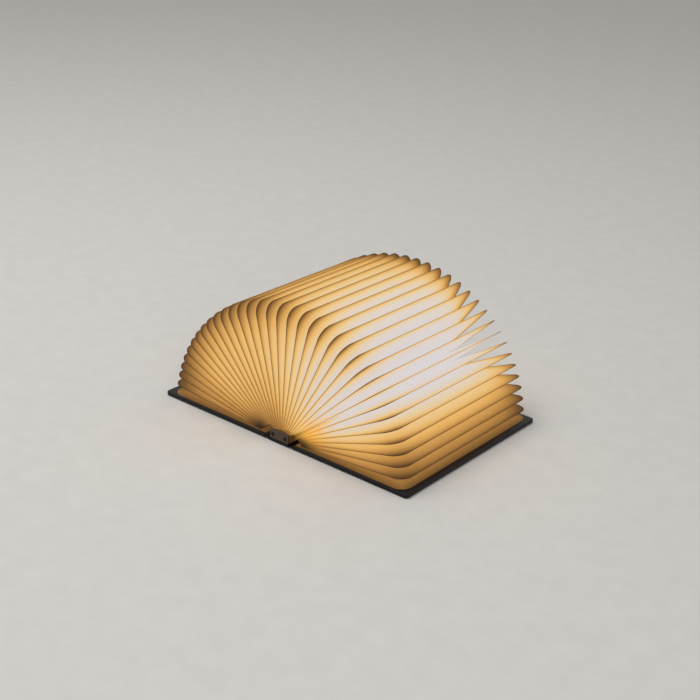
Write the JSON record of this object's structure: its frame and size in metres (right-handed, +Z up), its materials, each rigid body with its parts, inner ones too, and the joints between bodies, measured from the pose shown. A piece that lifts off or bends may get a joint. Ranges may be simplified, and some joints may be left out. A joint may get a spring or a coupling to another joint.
{
  "type": "folding book lamp",
  "caption": "Lamp shaped like a book: hard covers open flat or right round and spread a fan of glowing paper pockets about a lit spine.",
  "frame": {"origin": "middle of the open lamp's underside, under the spine", "axes": "+X across the open covers to the right cover, +Y along the spine to the charging port, +Z up"},
  "size_m": [0.242, 0.17, 0.1094],
  "materials": {
    "greyboard": "pressed grey board",
    "cover_wrap": "black leather-grained wrapping",
    "core_housing": "dark brown moulded plastic",
    "diffuser": "milky diffusing plastic",
    "circuit_strip": "white lacquered circuit strip",
    "leds": "yellow phosphor light-emitting diodes",
    "cell_foil": "foil pouch of the rechargeable cell",
    "foam_tape": "double-sided foam tape",
    "circuit_board": "green lacquered circuit board",
    "port_steel": "plated steel port shell",
    "light_pipe": "clear light pipe",
    "sensor": "moulded sensor package",
    "screw_steel": "plated screw",
    "magnets": "nickel plated magnet disc",
    "lining_paper": "cream paper lining",
    "page_paper": "cream fibre paper"
  },
  "bodies": {
    "core": {"spine_board": "greyboard", "spine_wrap": "cover_wrap", "right_hinge_strip": "cover_wrap", "left_hinge_strip": "cover_wrap", "core_tray": "core_housing", "core_lens": "diffuser", "led_strip": "circuit_strip", "leds": "leds", "cell": "cell_foil", "cell_tape": "foam_tape", "charge_board": "circuit_board", "charge_port": "port_steel", "charge_light": "light_pipe", "magnet_sensor": "sensor", "near_cap": "core_housing", "far_cap": "core_housing", "cap_screws": "screw_steel"},
    "right_cover": {"right_board": "greyboard", "right_wrap": "cover_wrap", "right_endpaper": "lining_paper", "right_magnets": "magnets"},
    "left_cover": {"left_board": "greyboard", "left_wrap": "cover_wrap", "left_endpaper": "lining_paper", "left_magnets": "magnets"},
    "leaf_01": {"page_01": "page_paper"},
    "leaf_02": {"page_02": "page_paper"},
    "leaf_03": {"page_03": "page_paper"},
    "leaf_04": {"page_04": "page_paper"},
    "leaf_05": {"page_05": "page_paper"},
    "leaf_06": {"page_06": "page_paper"},
    "leaf_07": {"page_07": "page_paper"},
    "leaf_08": {"page_08": "page_paper"},
    "leaf_09": {"page_09": "page_paper"},
    "leaf_10": {"page_10": "page_paper"},
    "leaf_11": {"page_11": "page_paper"},
    "leaf_12": {"page_12": "page_paper"},
    "leaf_13": {"page_13": "page_paper"},
    "leaf_14": {"page_14": "page_paper"},
    "leaf_15": {"page_15": "page_paper"},
    "leaf_16": {"page_16": "page_paper"},
    "leaf_17": {"page_17": "page_paper"},
    "leaf_18": {"page_18": "page_paper"},
    "leaf_19": {"page_19": "page_paper"},
    "leaf_20": {"page_20": "page_paper"},
    "leaf_21": {"page_21": "page_paper"},
    "leaf_22": {"page_22": "page_paper"},
    "leaf_23": {"page_23": "page_paper"},
    "leaf_24": {"page_24": "page_paper"},
    "leaf_25": {"page_25": "page_paper"},
    "leaf_26": {"page_26": "page_paper"},
    "leaf_27": {"page_27": "page_paper"},
    "leaf_28": {"page_28": "page_paper"},
    "leaf_29": {"page_29": "page_paper"},
    "leaf_30": {"page_30": "page_paper"},
    "leaf_31": {"page_31": "page_paper"},
    "leaf_32": {"page_32": "page_paper"},
    "leaf_33": {"page_33": "page_paper"},
    "leaf_34": {"page_34": "page_paper"}
  },
  "joints": [
    {"name": "right_cover_hinge", "type": "hinge", "parent": "core", "child": "right_cover", "pos_m": [0.0122, 0, 0.0015], "axis": [0, -1, 0], "range_deg": [-95.5, 90], "deforming": ["right_hinge_strip"]},
    {"name": "left_cover_hinge", "type": "hinge", "parent": "core", "child": "left_cover", "pos_m": [-0.0122, 0, 0.0015], "axis": [0, 1, 0], "range_deg": [-95.5, 90], "deforming": ["left_hinge_strip"]},
    {"name": "leaf_01_turn", "type": "hinge", "parent": "core", "child": "leaf_01", "pos_m": [0.01189, 0, 0.00164], "axis": [0, -1, 0], "range_deg": [-91, 85.76], "deforming": ["page_01"]},
    {"name": "leaf_02_turn", "type": "hinge", "parent": "core", "child": "leaf_02", "pos_m": [0.01127, 0, 0.0018], "axis": [0, -1, 0], "range_deg": [-85.76, 80.82], "deforming": ["page_02"]},
    {"name": "leaf_03_turn", "type": "hinge", "parent": "core", "child": "leaf_03", "pos_m": [0.01063, 0, 0.00196], "axis": [0, -1, 0], "range_deg": [-80.5, 75.86], "deforming": ["page_03"]},
    {"name": "leaf_04_turn", "type": "hinge", "parent": "core", "child": "leaf_04", "pos_m": [0.00998, 0, 0.00212], "axis": [0, -1, 0], "range_deg": [-75.21, 70.88], "deforming": ["page_04"]},
    {"name": "leaf_05_turn", "type": "hinge", "parent": "core", "child": "leaf_05", "pos_m": [0.00931, 0, 0.00228], "axis": [0, -1, 0], "range_deg": [-69.88, 65.85], "deforming": ["page_05"]},
    {"name": "leaf_06_turn", "type": "hinge", "parent": "core", "child": "leaf_06", "pos_m": [0.00863, 0, 0.00243], "axis": [0, -1, 0], "range_deg": [-64.49, 60.78], "deforming": ["page_06"]},
    {"name": "leaf_07_turn", "type": "hinge", "parent": "core", "child": "leaf_07", "pos_m": [0.00793, 0, 0.00257], "axis": [0, -1, 0], "range_deg": [-59.04, 55.64], "deforming": ["page_07"]},
    {"name": "leaf_08_turn", "type": "hinge", "parent": "core", "child": "leaf_08", "pos_m": [0.00722, 0, 0.00271], "axis": [0, -1, 0], "range_deg": [-53.52, 50.44], "deforming": ["page_08"]},
    {"name": "leaf_09_turn", "type": "hinge", "parent": "core", "child": "leaf_09", "pos_m": [0.0065, 0, 0.00284], "axis": [0, -1, 0], "range_deg": [-47.93, 45.17], "deforming": ["page_09"]},
    {"name": "leaf_10_turn", "type": "hinge", "parent": "core", "child": "leaf_10", "pos_m": [0.00576, 0, 0.00296], "axis": [0, -1, 0], "range_deg": [-42.26, 39.83], "deforming": ["page_10"]},
    {"name": "leaf_11_turn", "type": "hinge", "parent": "core", "child": "leaf_11", "pos_m": [0.00501, 0, 0.00307], "axis": [0, -1, 0], "range_deg": [-36.52, 34.42], "deforming": ["page_11"]},
    {"name": "leaf_12_turn", "type": "hinge", "parent": "core", "child": "leaf_12", "pos_m": [0.00425, 0, 0.00316], "axis": [0, -1, 0], "range_deg": [-30.71, 28.94], "deforming": ["page_12"]},
    {"name": "leaf_13_turn", "type": "hinge", "parent": "core", "child": "leaf_13", "pos_m": [0.00348, 0, 0.00324], "axis": [0, -1, 0], "range_deg": [-24.84, 23.41], "deforming": ["page_13"]},
    {"name": "leaf_14_turn", "type": "hinge", "parent": "core", "child": "leaf_14", "pos_m": [0.0027, 0, 0.00331], "axis": [0, -1, 0], "range_deg": [-18.91, 17.83], "deforming": ["page_14"]},
    {"name": "leaf_15_turn", "type": "hinge", "parent": "core", "child": "leaf_15", "pos_m": [0.00192, 0, 0.00336], "axis": [0, -1, 0], "range_deg": [-12.96, 12.21], "deforming": ["page_15"]},
    {"name": "leaf_16_turn", "type": "hinge", "parent": "core", "child": "leaf_16", "pos_m": [0.00113, 0, 0.00339], "axis": [0, -1, 0], "range_deg": [-6.97, 6.57], "deforming": ["page_16"]},
    {"name": "leaf_17_turn", "type": "hinge", "parent": "core", "child": "leaf_17", "pos_m": [0.00033, 0, 0.0034], "axis": [0, -1, 0], "range_deg": [-0.98, 0.93], "deforming": ["page_17"]},
    {"name": "leaf_18_turn", "type": "hinge", "parent": "core", "child": "leaf_18", "pos_m": [-0.00046, 0, 0.00339], "axis": [0, 1, 0], "range_deg": [-5.01, 4.72], "deforming": ["page_18"]},
    {"name": "leaf_19_turn", "type": "hinge", "parent": "core", "child": "leaf_19", "pos_m": [-0.00125, 0, 0.00337], "axis": [0, 1, 0], "range_deg": [-10.96, 10.33], "deforming": ["page_19"]},
    {"name": "leaf_20_turn", "type": "hinge", "parent": "core", "child": "leaf_20", "pos_m": [-0.00204, 0, 0.00333], "axis": [0, 1, 0], "range_deg": [-16.87, 15.9], "deforming": ["page_20"]},
    {"name": "leaf_21_turn", "type": "hinge", "parent": "core", "child": "leaf_21", "pos_m": [-0.00281, 0, 0.00327], "axis": [0, 1, 0], "range_deg": [-22.73, 21.42], "deforming": ["page_21"]},
    {"name": "leaf_22_turn", "type": "hinge", "parent": "core", "child": "leaf_22", "pos_m": [-0.00359, 0, 0.0032], "axis": [0, 1, 0], "range_deg": [-28.5, 26.86], "deforming": ["page_22"]},
    {"name": "leaf_23_turn", "type": "hinge", "parent": "core", "child": "leaf_23", "pos_m": [-0.00435, 0, 0.00311], "axis": [0, 1, 0], "range_deg": [-34.2, 32.23], "deforming": ["page_23"]},
    {"name": "leaf_24_turn", "type": "hinge", "parent": "core", "child": "leaf_24", "pos_m": [-0.0051, 0, 0.00301], "axis": [0, 1, 0], "range_deg": [-39.8, 37.51], "deforming": ["page_24"]},
    {"name": "leaf_25_turn", "type": "hinge", "parent": "core", "child": "leaf_25", "pos_m": [-0.00583, 0, 0.0029], "axis": [0, 1, 0], "range_deg": [-45.31, 42.7], "deforming": ["page_25"]},
    {"name": "leaf_26_turn", "type": "hinge", "parent": "core", "child": "leaf_26", "pos_m": [-0.00656, 0, 0.00278], "axis": [0, 1, 0], "range_deg": [-50.71, 47.79], "deforming": ["page_26"]},
    {"name": "leaf_27_turn", "type": "hinge", "parent": "core", "child": "leaf_27", "pos_m": [-0.00727, 0, 0.00265], "axis": [0, 1, 0], "range_deg": [-56.02, 52.79], "deforming": ["page_27"]},
    {"name": "leaf_28_turn", "type": "hinge", "parent": "core", "child": "leaf_28", "pos_m": [-0.00797, 0, 0.00252], "axis": [0, 1, 0], "range_deg": [-61.22, 57.7], "deforming": ["page_28"]},
    {"name": "leaf_29_turn", "type": "hinge", "parent": "core", "child": "leaf_29", "pos_m": [-0.00866, 0, 0.00238], "axis": [0, 1, 0], "range_deg": [-66.34, 62.52], "deforming": ["page_29"]},
    {"name": "leaf_30_turn", "type": "hinge", "parent": "core", "child": "leaf_30", "pos_m": [-0.00933, 0, 0.00223], "axis": [0, 1, 0], "range_deg": [-71.38, 67.27], "deforming": ["page_30"]},
    {"name": "leaf_31_turn", "type": "hinge", "parent": "core", "child": "leaf_31", "pos_m": [-0.00999, 0, 0.00209], "axis": [0, 1, 0], "range_deg": [-76.34, 71.95], "deforming": ["page_31"]},
    {"name": "leaf_32_turn", "type": "hinge", "parent": "core", "child": "leaf_32", "pos_m": [-0.01064, 0, 0.00194], "axis": [0, 1, 0], "range_deg": [-81.26, 76.58], "deforming": ["page_32"]},
    {"name": "leaf_33_turn", "type": "hinge", "parent": "core", "child": "leaf_33", "pos_m": [-0.01127, 0, 0.00179], "axis": [0, 1, 0], "range_deg": [-86.14, 81.18], "deforming": ["page_33"]},
    {"name": "leaf_34_turn", "type": "hinge", "parent": "core", "child": "leaf_34", "pos_m": [-0.01189, 0, 0.00164], "axis": [0, 1, 0], "range_deg": [-91, 85.76], "deforming": ["page_34"]}
  ],
  "couplings": [
    {"joint": "leaf_01_turn", "follows": "right_cover_hinge", "ratio": 0.95278},
    {"joint": "leaf_02_turn", "follows": "right_cover_hinge", "ratio": 0.89786},
    {"joint": "leaf_03_turn", "follows": "right_cover_hinge", "ratio": 0.84279},
    {"joint": "leaf_04_turn", "follows": "right_cover_hinge", "ratio": 0.78741},
    {"joint": "leaf_05_turn", "follows": "right_cover_hinge", "ratio": 0.73159},
    {"joint": "leaf_06_turn", "follows": "right_cover_hinge", "ratio": 0.6752},
    {"joint": "leaf_07_turn", "follows": "right_cover_hinge", "ratio": 0.61815},
    {"joint": "leaf_08_turn", "follows": "right_cover_hinge", "ratio": 0.56035},
    {"joint": "leaf_09_turn", "follows": "right_cover_hinge", "ratio": 0.50178},
    {"joint": "leaf_10_turn", "follows": "right_cover_hinge", "ratio": 0.44242},
    {"joint": "leaf_11_turn", "follows": "right_cover_hinge", "ratio": 0.38229},
    {"joint": "leaf_12_turn", "follows": "right_cover_hinge", "ratio": 0.32144},
    {"joint": "leaf_13_turn", "follows": "right_cover_hinge", "ratio": 0.25996},
    {"joint": "leaf_14_turn", "follows": "right_cover_hinge", "ratio": 0.19795},
    {"joint": "leaf_15_turn", "follows": "right_cover_hinge", "ratio": 0.13555},
    {"joint": "leaf_16_turn", "follows": "right_cover_hinge", "ratio": 0.07292},
    {"joint": "leaf_17_turn", "follows": "right_cover_hinge", "ratio": 0.010214},
    {"joint": "leaf_18_turn", "follows": "left_cover_hinge", "ratio": 0.052388},
    {"joint": "leaf_19_turn", "follows": "left_cover_hinge", "ratio": 0.11471},
    {"joint": "leaf_20_turn", "follows": "left_cover_hinge", "ratio": 0.17659},
    {"joint": "leaf_21_turn", "follows": "left_cover_hinge", "ratio": 0.23785},
    {"joint": "leaf_22_turn", "follows": "left_cover_hinge", "ratio": 0.29836},
    {"joint": "leaf_23_turn", "follows": "left_cover_hinge", "ratio": 0.35801},
    {"joint": "leaf_24_turn", "follows": "left_cover_hinge", "ratio": 0.41668},
    {"joint": "leaf_25_turn", "follows": "left_cover_hinge", "ratio": 0.47433},
    {"joint": "leaf_26_turn", "follows": "left_cover_hinge", "ratio": 0.53092},
    {"joint": "leaf_27_turn", "follows": "left_cover_hinge", "ratio": 0.58645},
    {"joint": "leaf_28_turn", "follows": "left_cover_hinge", "ratio": 0.64097},
    {"joint": "leaf_29_turn", "follows": "left_cover_hinge", "ratio": 0.69455},
    {"joint": "leaf_30_turn", "follows": "left_cover_hinge", "ratio": 0.74728},
    {"joint": "leaf_31_turn", "follows": "left_cover_hinge", "ratio": 0.79931},
    {"joint": "leaf_32_turn", "follows": "left_cover_hinge", "ratio": 0.85078},
    {"joint": "leaf_33_turn", "follows": "left_cover_hinge", "ratio": 0.90188},
    {"joint": "leaf_34_turn", "follows": "left_cover_hinge", "ratio": 0.95278}
  ]
}
